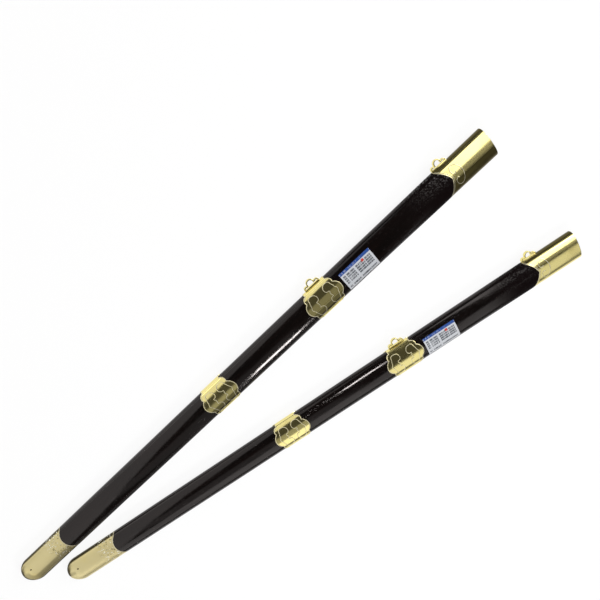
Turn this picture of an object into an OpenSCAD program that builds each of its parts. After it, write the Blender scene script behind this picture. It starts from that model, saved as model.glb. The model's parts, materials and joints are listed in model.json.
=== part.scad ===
// A pair of straight-sword scabbard training sticks, lying side by side on their backs.
// Each stick: +X from the chape's tip to the mouth, +Y towards its hanging loops, +Z up.
// The pair's origin is on the floor, under the middle of the pair's box.

/* [Pair] */
// Angle between the two sticks
splay = 11.3; // [6:0.1:20]
// How far the second stick's tip lies along the first stick
second_tip_along = 34; // [10:1:80]
// Distance from the first stick's axis to the second stick's tip
second_tip_apart = 40.5; // [38:0.5:90]

/* [Wooden body] */
// Length of a stick from the tip of its chape to its mouth
stick_len = 806; // [700:2:900]
// Width of the wood, carried on to the tip
wood_w_tip = 33.8; // [29:0.2:37]
// Width of the wood at the mouth
wood_w_mouth = 42.4; // [38:0.2:47]
// Thickness of the wood, carried on to the tip
wood_t_tip = 16.4; // [14:0.2:19]
// Thickness of the wood at the mouth
wood_t_mouth = 20.4; // [17:0.2:24]
// Fullness of the oval section, where 2 is an ellipse
oval_power = 2.3; // [2:0.1:2.8]
// Glue line between the front and the back slat
glue_line = 0.1; // [0.05:0.05:0.2]

/* [Blade slot] */
// Width of the slot at the mouth
slot_w_mouth = 30; // [24:0.5:32]
// Width of the slot at its closed end
slot_w_end = 21; // [16:0.5:24]
// Thickness of the slot
slot_t = 7; // [5:0.2:7.4]
// Depth of the slot from the mouth
slot_depth = 748; // [600:2:766]

/* [Brass] */
// Thickness of the sheet
brass_wall = 0.9; // [0.6:0.1:1.3]
// Gap that the glue fills between the sheet and the wood, and at the ends of a rebate
fit_gap = 0.1; // [0.05:0.05:0.2]

/* [Throat] */
// Length of the throat sleeve along its edges
throat_len = 80; // [60:1:100]
// Depth of the pointed arch in its rim
arch_depth = 13.4; // [8:0.2:16]
// Radius of the arch's two curves
arch_r = 44; // [36:1:60]
// Width of the straight rim left beside the arch at each edge
arch_land = 0.8; // [0.4:0.1:2]
// Thickness of the plate that closes the mouth round the slot
mouth_plate_t = 1.2; // [0.8:0.1:2]

/* [Upper band] */
// Middle of the upper band from the tip
upper_at = 523; // [490:1:550]
// Length along the edges
upper_edge_len = 34; // [26:1:40]
// Length over the middle lobes
upper_len = 56; // [50:1:62]

/* [Lower band] */
// Middle of the lower band from the tip
lower_at = 344; // [310:1:380]
// Length along the edges
lower_edge_len = 30; // [24:1:36]
// Length over the middle lobes
lower_len = 51; // [46:1:57]

/* [Band lobes] */
// Radius of the middle lobe at each end of a band
mid_lobe_r = 11.8; // [10:0.2:13]
// Radius of the two side lobes
side_lobe_r = 5.4; // [4.4:0.2:6]
// Distance of a side lobe from the axis
side_lobe_off = 12.2; // [11:0.2:13]
// How far a side lobe stands out of the edge line
side_lobe_out = 5.4; // [4:0.2:6.4]

/* [Chape] */
// Length of the chape along its edges
chape_len = 80; // [60:1:95]
// Depth of the round notch in its rim
chape_notch = 9; // [5:0.5:12]
// Length of the rounded tip
tip_round = 17; // [12:0.5:22]
// Distance of the brad from the tip
brad_at = 17; // [12:0.5:24]
// How far the brad lies from the axis towards the loops, as a share of the half width
brad_side = 0.3; // [0:0.05:0.4]
// Diameter of the brad
brad_d = 2; // [1.4:0.1:2.8]
// Length of the brad
brad_len = 4; // [3:0.2:5]
// How far the brad's head stands out of the chape
brad_head = 0.4; // [0.2:0.1:0.6]

/* [Hanging loops] */
// Width of a loop over its side lobes
loop_w = 23.4; // [20:0.2:27]
// Height of a loop over the band's edge
loop_h = 10.4; // [9:0.2:12]
// Thickness of the loop's strip
loop_strip = 1.6; // [1.2:0.1:2]
// Depth of the strip
loop_depth = 4.2; // [3:0.2:6]
// Inner radius of the side lobes
loop_side_r = 2; // [1.6:0.1:2.6]
// Height of the side lobes' centres over the loop's foot
loop_side_up = 0.1; // [0:0.1:1]
// Inner radius of the top lobe
loop_top_r = 3.9; // [3.2:0.1:4.4]
// Height of the eye over the loop's foot between its lobes
loop_shoulder = 1.6; // [1.2:0.1:2.4]
// Middle of the throat's loop from the rim of the throat
throat_loop_in = 12.4; // [12:0.2:30]

/* [Paper label] */
// Length of the label along the stick
label_l = 50; // [40:1:60]
// Width of the label as seen from the front
label_w = 27; // [18:0.5:29]
// Distance from the upper band's lobe
label_gap = 4; // [1:0.5:20]
// Distance of its middle from the axis, away from the loops
label_off = 3; // [0:0.5:4]
// Thickness of the paper
label_t = 0.2; // [0.1:0.05:0.3]

/* [Hidden] */
STICKS = ["first", "second"];
PIECES = ["front_slat", "back_slat", "throat", "mouth_plate", "throat_loop", "upper_band",
          "upper_loop", "lower_band", "chape", "chape_brad", "label"];
$fn = 48;

// Corners round a full oval, and rings in the rounded tip
sides = 48;
tip_rings = 7;
// Share of the full width that the blunt end of the tip keeps
tip_blunt = 0.12;
// How fast the tip thins compared with how it narrows
tip_thin = 0.6;
// Taller than any stick, for outlines that cut right through
through = 60;
// Overrun that keeps a cut's faces off the faces of what it cuts
over = 1;

// How deep the throat and the chape are let into the wood, and how far a band stands out of it
brass_off = fit_gap + brass_wall;
throat_rim = stick_len - throat_len;
wood_end = stick_len - mouth_plate_t - fit_gap;
slot_end = stick_len - slot_depth;
label_from = upper_at + upper_len / 2 + label_gap;
upper_reach = (upper_len - upper_edge_len) / 2;
lower_reach = (lower_len - lower_edge_len) / 2;
throat_loop_at = throat_rim + throat_loop_in;
lacquer = [0.07, 0.045, 0.04];
brass = [0.83, 0.68, 0.32];
paper = [0.93, 0.94, 0.96];

// Half the width and half the thickness of the wood, and the height of the middle plane
function along(from, to, x) = from + (to - from) * x / stick_len;
function half_w(x) = along(wood_w_tip, wood_w_mouth, x) / 2;
function half_t(x) = along(wood_t_tip, wood_t_mouth, x) / 2;
function mid_z(x) = half_t(x) + brass_off;

// Where a skin that lies off the wood's face begins, and how much of the full width it has at x
function tip_start(off) = -off;
function tip_share(off, x) =
    x >= tip_round ? 1
    : max(tip_blunt, sqrt(1 - pow((tip_round - x) / (tip_round - tip_start(off)), 2)));

// One ring of the oval, from one angle to another, on a skin that lies off the wood's face
function soft(v) = sign(v) * pow(abs(v), 2 / oval_power);
function ring(off, x, from = 0, to = 360, lift = 0) = let (
    share = tip_share(off, x),
    a = (half_w(x) + off) * share,
    b = (half_t(x) + off) * pow(share, tip_thin) - abs(lift),
    steps = sides * (to - from) / 360)
    [for (j = [0 : steps - (to - from == 360 ? 1 : 0)]) let (t = from + 360 * j / sides)
        [x, a * soft(cos(t)), mid_z(x) + lift + b * soft(sin(t))]];

// Stations along a skin from its rounded tip
function tip_stations(off) = [for (k = [0 : tip_rings])
    tip_start(off) + (tip_round - tip_start(off)) * (1 - cos(90 * k / tip_rings))];

// A closed solid through a list of rings
module skin(rings) {
    n = len(rings[0]);
    last = len(rings) - 1;
    polyhedron(
        points = [for (r = rings, p = r) p],
        faces = concat(
            [for (i = [0 : last - 1], j = [0 : n - 1])
                [i * n + j, (i + 1) * n + j, (i + 1) * n + (j + 1) % n]],
            [for (i = [0 : last - 1], j = [0 : n - 1])
                [i * n + j, (i + 1) * n + (j + 1) % n, i * n + (j + 1) % n]],
            [[for (j = [0 : n - 1]) j]],
            [[for (j = [n - 1 : -1 : 0]) last * n + j]]));
}

// A plain length of the oval, and one that begins with the rounded tip
module oval_length(off, from, to) {
    skin([ring(off, from), ring(off, to)]);
}
module oval_from_tip(off, to) {
    skin([for (x = concat(tip_stations(off), [to])) ring(off, x)]);
}

// A sheet round the stick between two stations, with its outer face off the wood's face
module sheet(off, from, to) {
    difference() {
        oval_length(off, from, to);
        oval_length(off - brass_wall, from - over, to + over);
    }
}

// The blade's slot, tapered along the stick
function slot_ring(x) = let (
    into = (x - slot_end) / slot_depth,
    a = (slot_w_end + (slot_w_mouth - slot_w_end) * into) / 2)
    [for (c = [[a, -1], [a, 1], [-a, 1], [-a, -1]]) [x, c[0], mid_z(x) + c[1] * slot_t / 2]];
module blade_slot() {
    skin([slot_ring(slot_end), slot_ring(stick_len + over)]);
}

// The hole that the brad goes into
module brad_hole() {
    translate([brad_at, brad_y(), brad_top() - brad_len])
        cylinder(d = brad_d + 2 * fit_gap, h = through);
}
function brad_y() = brad_side * half_w(brad_at) * tip_share(0, brad_at);
function brad_top() = mid_z(brad_at) + half_t(brad_at) * pow(tip_share(0, brad_at), tip_thin)
    * pow(1 - pow(brad_side, oval_power), 1 / oval_power);

// One of the two hollowed slats, rebated for the throat and the chape; the front one is the upper half
module slat(from, lift) {
    color(lacquer) difference() {
        skin([for (x = concat(tip_stations(0), [wood_end]))
            ring(0, x, from, from + 180, lift)]);
        throat_rebate();
        chape_rebate();
        blade_slot();
        brad_hole();
    }
}
module front_slat() { slat(0, glue_line / 2); }
module back_slat() { slat(180, -glue_line / 2); }

// The throat sleeve, with a pointed arch cut into its rim on both faces
module throat() {
    color(brass) difference() {
        sheet(0, throat_rim, stick_len);
        throat_arch(0);
    }
}
module throat_rebate() {
    difference() {
        oval_length(over, throat_rim - fit_gap, stick_len + over);
        oval_length(-brass_off, throat_rim - fit_gap - over, stick_len + 2 * over);
        throat_arch(fit_gap);
    }
}
module throat_arch(inset) {
    half = half_w(throat_rim) - arch_land;
    // Each curve runs from the end of the straight rim to the arch's point
    chord = sqrt(half * half + arch_depth * arch_depth);
    sag = sqrt(arch_r * arch_r - chord * chord / 4);
    centre = [arch_depth / 2 - sag * half / chord, half / 2 - sag * arch_depth / chord];
    translate([throat_rim, 0, -over]) linear_extrude(through) intersection() {
        translate(centre) circle(r = arch_r - inset, $fn = 96);
        translate([centre[0], -centre[1]]) circle(r = arch_r - inset, $fn = 96);
        translate([-over, -half]) square([arch_depth + 2 * over, 2 * half]);
    }
}

// The plate in the mouth, pierced for the blade
module mouth_plate() {
    back = stick_len - mouth_plate_t;
    color(brass) difference() {
        translate([back, 0, 0]) rotate([90, 0, 90]) linear_extrude(mouth_plate_t)
            polygon([for (p = ring(-brass_off, back)) [p[1], p[2]]]);
        translate([back - over, -slot_w_mouth / 2, mid_z(stick_len) - slot_t / 2])
            cube([mouth_plate_t + 2 * over, slot_w_mouth, slot_t]);
    }
}

// Outline of a band: a plain middle, and three lobes at each end
module band_outline(edge_len, reach) {
    square([edge_len, through], center = true);
    for (end = [-1, 1]) {
        translate([end * (edge_len / 2 + reach - mid_lobe_r), 0]) circle(r = mid_lobe_r);
        for (side = [-1, 1])
            translate([end * (edge_len / 2 + side_lobe_out - side_lobe_r), side * side_lobe_off])
                circle(r = side_lobe_r);
    }
}
module band(at, edge_len, reach) {
    color(brass) intersection() {
        sheet(brass_off, at - edge_len / 2 - reach, at + edge_len / 2 + reach);
        translate([at, 0, -over]) linear_extrude(through) band_outline(edge_len, reach);
    }
}
module upper_band() { band(upper_at, upper_edge_len, upper_reach); }
module lower_band() { band(lower_at, lower_edge_len, lower_reach); }

// The chape, a cup over the tip with a round notch in its rim on both faces
module chape() {
    color(brass) difference() {
        oval_from_tip(0, chape_len);
        oval_from_tip(-brass_wall, chape_len + over);
        chape_cut(0);
        brad_hole();
    }
}
module chape_rebate() {
    difference() {
        translate([-over, -through / 2, -over]) cube([chape_len + fit_gap + over, through, through]);
        oval_from_tip(-brass_off, chape_len + 2 * over);
        chape_cut(fit_gap);
    }
}
module chape_cut(inset) {
    half = half_w(chape_len);
    notch_r = (half * half + chape_notch * chape_notch) / (2 * chape_notch);
    translate([chape_len + notch_r - chape_notch, 0, -2 * over])
        cylinder(r = notch_r - inset, h = through + 2 * over, $fn = 96);
}

// The brad that pins the chape to the front slat
module chape_brad() {
    color(brass) translate([brad_at, brad_y(), brad_top() - brad_len]) rotate_extrude()
        polygon([[0, 0], [brad_d / 2, 0], [brad_d / 2, brad_len],
                 [brad_d / 4, brad_len + brad_head], [0, brad_len + brad_head]]);
}

// A trefoil loop soldered on the edge of a fitting: one strip bent over three lobes, on a foot
module loop_outline(grow) {
    side_at = loop_w / 2 - loop_strip - loop_side_r;
    top_at = loop_h - loop_strip - loop_top_r;
    intersection() {
        union() {
            translate([0, top_at]) circle(r = loop_top_r + grow);
            for (side = [-1, 1])
                translate([side * side_at, loop_strip + loop_side_up]) circle(r = loop_side_r + grow);
            translate([-side_at, 0]) square([2 * side_at, loop_strip + loop_shoulder + grow]);
        }
        translate([-loop_w, loop_strip - grow]) square([2 * loop_w, loop_h]);
    }
}
module hanging_loop(at, off) {
    edge = half_w(at) + off;
    // The foot reaches in past the round and the taper of the edge, and is cut to sit on it
    sink = loop_w * (wood_w_mouth - wood_w_tip) / stick_len + loop_depth / 2;
    color(brass) difference() {
        translate([at, edge, mid_z(at) - loop_depth / 2]) linear_extrude(loop_depth) difference() {
            union() {
                loop_outline(loop_strip);
                translate([-loop_w / 2, -sink]) square([loop_w, sink + loop_strip]);
            }
            loop_outline(0);
        }
        oval_length(off + fit_gap / 2, at - loop_w, at + loop_w);
    }
}
module throat_loop() { hanging_loop(throat_loop_at, 0); }
module upper_loop() { hanging_loop(upper_at, brass_off); }

// The paper label on the front slat
module label() {
    color(paper) intersection() {
        difference() {
            oval_length(fit_gap / 2 + label_t, label_from, label_from + label_l);
            oval_length(fit_gap / 2, label_from - over, label_from + label_l + over);
        }
        translate([label_from - over, -label_off - label_w / 2, mid_z(label_from)])
            cube([label_l + 2 * over, label_w, through]);
    }
}

// The pair's box, from the first stick's tip, loops and mouth and the second stick's mouth
mouth_half = half_w(stick_len);
box_x = second_tip_along + stick_len * cos(splay) + mouth_half * sin(splay);
box_top = max(half_w(throat_loop_at), half_w(upper_at) + brass_off) + loop_h;
box_low = -second_tip_apart - stick_len * sin(splay) - mouth_half * cos(splay);

module place(stick) {
    translate([-box_x / 2, -(box_top + box_low) / 2, 0])
        if (stick == "first")
            children();
        else
            translate([second_tip_along, -second_tip_apart, 0]) rotate([0, 0, -splay]) children();
}
module piece(name) {
    if (name == "front_slat") front_slat();
    if (name == "back_slat") back_slat();
    if (name == "throat") throat();
    if (name == "mouth_plate") mouth_plate();
    if (name == "throat_loop") throat_loop();
    if (name == "upper_band") upper_band();
    if (name == "upper_loop") upper_loop();
    if (name == "lower_band") lower_band();
    if (name == "chape") chape();
    if (name == "chape_brad") chape_brad();
    if (name == "label") label();
}
for (s = STICKS, p = PIECES)
    place(s) piece(p);
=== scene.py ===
import json
import math
import bpy
import numpy as np
from mathutils import Matrix, Vector

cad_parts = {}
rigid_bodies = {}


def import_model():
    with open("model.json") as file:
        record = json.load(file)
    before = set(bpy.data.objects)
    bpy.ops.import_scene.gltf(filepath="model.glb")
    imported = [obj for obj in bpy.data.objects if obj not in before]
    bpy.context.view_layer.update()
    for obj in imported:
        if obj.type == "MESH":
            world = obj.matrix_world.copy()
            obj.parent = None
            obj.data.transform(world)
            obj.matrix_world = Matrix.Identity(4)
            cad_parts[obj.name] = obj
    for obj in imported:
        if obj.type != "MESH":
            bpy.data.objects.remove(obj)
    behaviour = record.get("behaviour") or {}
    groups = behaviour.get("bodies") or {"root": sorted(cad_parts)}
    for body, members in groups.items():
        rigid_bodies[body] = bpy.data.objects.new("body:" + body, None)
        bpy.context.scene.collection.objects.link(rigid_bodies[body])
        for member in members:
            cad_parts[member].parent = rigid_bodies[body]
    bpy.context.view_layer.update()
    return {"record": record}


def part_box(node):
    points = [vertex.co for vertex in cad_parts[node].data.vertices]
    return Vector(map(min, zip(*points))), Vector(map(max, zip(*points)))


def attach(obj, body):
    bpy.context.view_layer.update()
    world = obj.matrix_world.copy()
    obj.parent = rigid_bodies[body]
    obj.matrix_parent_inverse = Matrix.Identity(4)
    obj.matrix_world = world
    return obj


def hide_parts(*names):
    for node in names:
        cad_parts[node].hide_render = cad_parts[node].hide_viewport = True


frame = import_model()
mm = 0.001
tiny = 1e-6  # points nearer than this count as one


# The stick's shape: its own frame has the tip at 0, +X to the mouth, +Y to the loops

chapeLow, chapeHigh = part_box("first_chape")
throatLow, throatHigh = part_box("first_throat")
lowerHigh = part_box("first_lower_band")[1]
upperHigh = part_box("first_upper_band")[1]
tipX = chapeLow.x
stickY = (chapeLow.y + chapeHigh.y) / 2

stick = {
    "length": throatHigh.x - tipX,
    "oval": 2.3,  # fullness of the section, 2 is an ellipse
    "brassOff": 1.0 * mm,  # how deep throat and chape are let in, and how far a band stands out
    "wall": 0.74 * mm,  # sheet under the raised lines
    "relief": 0.16 * mm,  # how far beads and lines stand over the plain sheet
    "tipRound": 17 * mm,
    "tipThin": 0.6,  # how fast the tip thins compared with how it narrows
    "faceCrowd": 0.22,  # crowds the steps round the oval on its two faces
}


def taper(x1, size1, x2, size2):
    return lambda x: size1 + (size2 - size1) * (x - x1) / (x2 - x1)


# Half sizes of the wood and the height of its middle plane, from the solids' boxes on the first stick
halfWidth = taper(chapeHigh.x - tipX, (chapeHigh.y - chapeLow.y) / 2,
                  stick["length"], (throatHigh.y - throatLow.y) / 2)
midHeight = taper(lowerHigh.x - tipX, lowerHigh.z / 2, upperHigh.x - tipX, upperHigh.z / 2)


def halfThick(x):
    return midHeight(x) - stick["brassOff"]


def span(node):
    low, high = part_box("first_" + node)
    return low.x - tipX, high.x - tipX


def columns(*values):
    return np.stack(values, axis=-1)


def squared(v, fullness):
    # a sine or cosine that runs round a fuller oval, or round a box
    return np.sign(v) * np.abs(v) ** (2 / fullness)


def soft(v):
    return squared(v, stick["oval"])


def skin(x, turn, out, share=1.0):
    # points of the oval that lies out off the wood's face
    y = (halfWidth(x) + out) * share * soft(np.cos(turn))
    z = midHeight(x) + (halfThick(x) + out) * share ** stick["tipThin"] * soft(np.sin(turn))
    return columns(x + 0 * turn, y, z)


def faceTurn(share):
    # turn round the oval, with more steps on the two faces than on the edges
    turn = 2 * math.pi * share
    return turn + stick["faceCrowd"] * np.sin(2 * turn)


def eased(value, low, high):
    # 0 below low, 1 above high
    t = np.clip((value - low) / (high - low), 0, 1)
    return t * t * (3 - 2 * t)


def stepped(height, steps):
    # a sum of eased steps, each with the heights where it begins and ends and how much it adds
    return sum(amount * eased(height, low, high) for low, high, amount in steps)


sides = {
    # how far the skin looks to the loops, and ahead at the tip, where the painted shades set in and are
    # full
    "turn": (0.2, 0.9),
    "tip": (0.3, 0.7),
    "blur": 0.02,  # eases the change between the two sides
}


def paintedSideShade(points, piece):
    # painted shade on the sides: how dark they are drawn; heights run from 0 on the faces to 1 on the edges
    x, y, z = points.T
    height = 1 - np.abs(z - midHeight(x)) / halfThick(x)
    across = y / halfWidth(x)
    ahead = np.clip(1 - x / stick["tipRound"], 0, 1)
    toLoops = eased(across / np.hypot(across, ahead + sides["blur"]), *sides["turn"])
    tone = stepped(height, piece["farSide"]) * (1 - toLoops) + stepped(height, piece["loopSide"]) * toLoops
    return np.maximum(tone, stepped(height, piece.get("tipSide", [])) * eased(ahead, *sides["tip"]))


def lineDistance(points, line):
    # least distance from each point to a run of straight bits, in plan
    best = np.full(len(points), np.inf)
    for a, b in zip(line[:-1], line[1:]):
        step = b - a
        reach = np.clip(((points - a) @ step) / max(step @ step, tiny ** 3), 0, 1)
        best = np.minimum(best, ((points - a - reach[:, None] * step) ** 2).sum(1))
    return np.sqrt(best)


def arc(centre, radius, fromDeg, toDeg, steps):
    a = np.radians(np.linspace(fromDeg, toDeg, steps))
    return columns(centre[0] + radius * np.cos(a), centre[1] + radius * np.sin(a))


def curve(points, steps=6):
    # a smooth line through points
    p = np.array(points, float)
    p = np.concatenate([[2 * p[0] - p[1]], p, [2 * p[-1] - p[-2]]])
    t = np.linspace(0, 1, steps, endpoint=False)[:, None]
    runs = []
    for a, b, c, d in zip(p[:-3], p[1:-2], p[2:-1], p[3:]):
        bend = 2 * a - 5 * b + 4 * c - d
        twist = 3 * b - a - 3 * c + d
        runs.append(0.5 * (2 * b + (c - a) * t + bend * t ** 2 + twist * t ** 3))
    return np.concatenate(runs + [p[-2:-1]])


def ridge(distance, width):
    # softly rounded ridge, 1 on its crest
    return (1 + np.cos(math.pi * np.clip(2 * distance / width, -1, 1))) / 2


# Mesh helpers

def setMode(mode):
    bpy.ops.object.mode_set(mode=mode)


def clearSelection():
    if bpy.context.object and bpy.context.object.mode != "OBJECT":
        setMode("OBJECT")
    bpy.ops.object.select_all(action="DESELECT")


def pick(piece):
    clearSelection()
    piece.select_set(True)
    bpy.context.view_layer.objects.active = piece


def named(name):
    piece = bpy.context.object
    piece.name = name
    return piece


def setPoints(piece, points):
    piece.data.vertices.foreach_set("co", np.ascontiguousarray(points, np.float32).ravel())
    piece.data.update()


def getPoints(piece):
    co = np.empty(len(piece.data.vertices) * 3, np.float32)
    piece.data.vertices.foreach_get("co", co)
    return co.reshape(-1, 3).astype(float)


def faceOutwards(piece, closeSeams=False):
    pick(piece)
    setMode("EDIT")
    bpy.ops.mesh.select_all(action="SELECT")
    if closeSeams:
        bpy.ops.mesh.remove_doubles(threshold=tiny)
    bpy.ops.mesh.normals_make_consistent(inside=False)
    setMode("OBJECT")


def addFloats(piece, name, values):
    piece.data.attributes.new(name, "FLOAT", "POINT")
    piece.data.attributes[name].data.foreach_set("value", np.ascontiguousarray(values, np.float32))


def ringPiece(name, around, through):
    # a grid to be rolled up both ways: round the stick, and out over a sheet and back inside
    clearSelection()
    bpy.ops.mesh.primitive_grid_add(x_subdivisions=around, y_subdivisions=through, size=2)
    piece = named(name)
    place = (getPoints(piece) + 1) / 2
    return piece, place[:, 0], np.round(place[:, 1] * through).astype(int) % through


def tubePiece(name, around, stations):
    # a cylinder cut across into stations; gives each point's place round it and its station
    clearSelection()
    bpy.ops.mesh.primitive_cylinder_add(vertices=around, radius=1, depth=2)
    piece = named(name)
    points = getPoints(piece)
    ends = np.array([e.vertices[:] for e in piece.data.edges])
    lengthwise = np.abs(points[ends[:, 0], 2] - points[ends[:, 1], 2]) > 1
    setMode("EDIT")
    bpy.ops.mesh.select_mode(type="EDGE")
    bpy.ops.mesh.select_all(action="DESELECT")
    setMode("OBJECT")
    piece.data.edges.foreach_set("select", lengthwise)
    setMode("EDIT")
    bpy.ops.mesh.subdivide(number_cuts=stations - 2)
    setMode("OBJECT")
    points = getPoints(piece)
    turn = np.round(np.arctan2(points[:, 1], points[:, 0]) / (2 * math.pi) * around).astype(int) % around
    station = np.round((points[:, 2] + 1) / 2 * (stations - 1)).astype(int)
    return piece, turn, station


# Shader helpers

def operator(operation, reflected=False):
    # reflected where the socket stands on the right, as in 1 - mask
    if reflected:
        return lambda self, other: self.math(operation, other, self)
    return lambda self, other: self.math(operation, self, other)


class Sock:
    # one output socket; arithmetic on it adds Math nodes
    def __init__(self, tree, out):
        self.tree, self.out = tree, out

    def math(self, operation, *values):
        node = self.tree.nodes.new("ShaderNodeMath")
        node.operation = operation
        for place, value in zip(node.inputs, values):
            feed(self.tree, place, value)
        return Sock(self.tree, node.outputs[0])

    __add__, __radd__ = operator("ADD"), operator("ADD", reflected=True)
    __sub__, __rsub__ = operator("SUBTRACT"), operator("SUBTRACT", reflected=True)
    __mul__, __rmul__ = operator("MULTIPLY"), operator("MULTIPLY", reflected=True)
    __truediv__, __rtruediv__ = operator("DIVIDE"), operator("DIVIDE", reflected=True)
    __gt__, __lt__ = operator("GREATER_THAN"), operator("LESS_THAN")


def feed(tree, place, value):
    if isinstance(value, Sock):
        tree.links.new(value.out, place)
    else:
        place.default_value = value


class Finish:
    # a material or world under construction
    def __init__(self, owner):
        owner.use_nodes = True
        self.owner, self.tree = owner, owner.node_tree
        self.tree.nodes.clear()

    def node(self, kind, settings=None, inputs=None, out=0):
        made = self.tree.nodes.new(kind)
        for key, value in (settings or {}).items():
            setattr(made, key, value)
        for key, value in (inputs or {}).items():
            feed(self.tree, made.inputs[key], value)
        return Sock(self.tree, made.outputs[out]) if made.outputs else None

    def mix(self, factor, a, b):
        return self.node("ShaderNodeMix", {"data_type": "RGBA"}, {0: factor, 6: a, 7: b}, out=2)

    def smooth(self, value, low, high):
        # 0 below low, 1 above high, eased between
        return self.node("ShaderNodeMapRange", {"interpolation_type": "SMOOTHSTEP"},
                         {"Value": value, "From Min": low, "From Max": high})

    def between(self, value, low, high):
        return (value > low) * (value < high)

    def stickPlace(self):
        # place on the stick, in metres from its tip
        return self.node("ShaderNodeAttribute", {"attribute_name": "onStick"}, out="Vector")

    def parts(self, vector):
        return [self.node("ShaderNodeSeparateXYZ", {}, {0: vector}, out=axis) for axis in range(3)]

    def number(self, name):
        return self.node("ShaderNodeAttribute", {"attribute_name": name}, out="Fac")

    def noise(self, place, pattern, seed=0.0):
        # pattern: how fine it is, one number or along, across and through the stick; detail; roughness
        scale, detail, roughness = pattern
        if isinstance(scale, tuple):
            place = self.node("ShaderNodeVectorMath", {"operation": "MULTIPLY"}, {0: place, 1: scale})
            scale = 1.0
        return self.node("ShaderNodeTexNoise", {"noise_dimensions": "4D"}, {
            "Vector": place, "W": seed, "Scale": scale, "Detail": detail, "Roughness": roughness})

    def bump(self, height, size, under=None):
        # size: its distance and its strength
        inputs = {"Height": height, "Distance": size[0], "Strength": size[1]}
        if under:
            inputs["Normal"] = under
        return self.node("ShaderNodeBump", {}, inputs)

    def principled(self, inputs):
        return self.node("ShaderNodeBsdfPrincipled", {}, inputs)

    def surface(self, shader):
        inWorld = isinstance(self.owner, bpy.types.World)
        kind = "ShaderNodeOutputWorld" if inWorld else "ShaderNodeOutputMaterial"
        self.node(kind, {}, {"Surface": shader})
        return self.owner


def newFinish(name):
    return Finish(bpy.data.materials.new(name))


lacquerLook = {
    "black": (0.0016, 0.0009, 0.0008, 1),
    "brown": (0.0045, 0.0020, 0.0017, 1),
    "maroon": (0.0036, 0.0015, 0.0016, 1),  # where it lies thick against the throat
    "shine": (1.0, 0.91, 0.88, 1),
    "ior": 1.46,
    "rough": 0.10,
    "smudgeRough": 0.10,  # what smudges and pores add
    "poreRough": 0.12,
    "mattRough": 0.5,
    "mattShine": 0.04,
    "coat": 0.12,
    "beadCoat": 0.9,
    "coatRough": 0.08,
    "grain": ((14, 260, 260), 4, 0.6),
    "pores": ((160, 2100, 2100), 2, 0.6),
    "wave": ((55, 110, 110), 2, 0.5),
    "smudge": ((30, 60, 60), 4, 0.6),
    "crackle": ((330, 480, 480), 3, 0.65),
    "seed": 7.3,  # from one stick's patterns to the other's
    "smudgeSeed": 3.1,
    "grainRange": (0.35, 0.75),
    "poreRange": (0.60, 0.72),
    "smudgeRange": (0.45, 0.75),
    "beadRange": (0.50, 0.57),
    "waveBump": (0.10 * mm, 0.55),
    "poreBump": (0.05 * mm, 0.5),
    "beadBump": (0.3 * mm, 1.0),
    "grainShare": 0.25,  # height of the grain beside the pores' depth
    "thick": (640 * mm, 710 * mm),  # from the tip, where the thick lacquer sets in and is full
    "beadSide": (-6 * mm, 1 * mm),  # beads keep to the loops' side
    "fewer": 0.6,  # share of the beads that the second stick lacks
}


def lacquer():
    look = lacquerLook
    f = newFinish("blackLacquer")
    place = f.stickPlace()
    x, y, _ = f.parts(place)
    second = f.number("stickNo")
    seed = second * look["seed"]
    grain = f.noise(place, look["grain"], seed)
    wave = f.noise(place, look["wave"], seed)
    crackle = f.noise(place, look["crackle"], seed)
    pit = f.smooth(f.noise(place, look["pores"], seed), *look["poreRange"])
    smudge = f.smooth(f.noise(place, look["smudge"], seed + look["smudgeSeed"]), *look["smudgeRange"])
    thick = f.smooth(x, *look["thick"])
    colour = f.mix(f.smooth(grain, *look["grainRange"]), look["black"], look["brown"])
    rough = look["rough"] + look["smudgeRough"] * smudge + look["poreRough"] * pit
    # beads of lacquer stand up where it was laid on thick against the throat
    beads = f.smooth(crackle, *look["beadRange"]) * thick * f.smooth(y, *look["beadSide"])
    beads = beads * (1 - look["fewer"] * second)
    waves = f.bump(wave, look["waveBump"])
    dents = f.bump(pit * -1.0 + grain * look["grainShare"], look["poreBump"], waves)
    normal = f.bump(crackle * thick, look["beadBump"], dents)
    gloss = f.principled({
        "Base Color": colour, "Roughness": rough, "Normal": normal, "IOR": look["ior"],
        "Specular Tint": look["shine"], "Coat Roughness": look["coatRough"],
        "Coat Weight": (1 - thick) * look["coat"] + beads * look["beadCoat"]})
    matt = f.principled({
        "Base Color": look["maroon"], "Roughness": look["mattRough"], "Normal": normal,
        "Specular IOR Level": look["mattShine"]})
    return f.surface(f.node("ShaderNodeMixShader", {}, {0: thick * (1 - beads), 1: gloss, 2: matt}))


woodLook = {
    "pale": (0.46, 0.30, 0.17, 1),
    "dark": (0.26, 0.15, 0.08, 1),
    "grain": ((9, 420, 420), 5, 0.6),
    "fibre": ((60, 1600, 1600), 3, 0.6),
    "seed": 5.7,
    "rough": 0.62,
    "fibreRough": 0.2,
    "fibreBump": (0.15 * mm, 0.6),
}


def rawWood():
    look = woodLook
    f = newFinish("bareWood")
    place = f.stickPlace()
    grain = f.noise(place, look["grain"], f.number("stickNo") * look["seed"])
    fibre = f.noise(place, look["fibre"])
    return f.surface(f.principled({
        "Base Color": f.mix(grain, look["pale"], look["dark"]),
        "Roughness": look["rough"] + look["fibreRough"] * fibre,
        "Normal": f.bump(fibre, look["fibreBump"])}))


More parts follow.
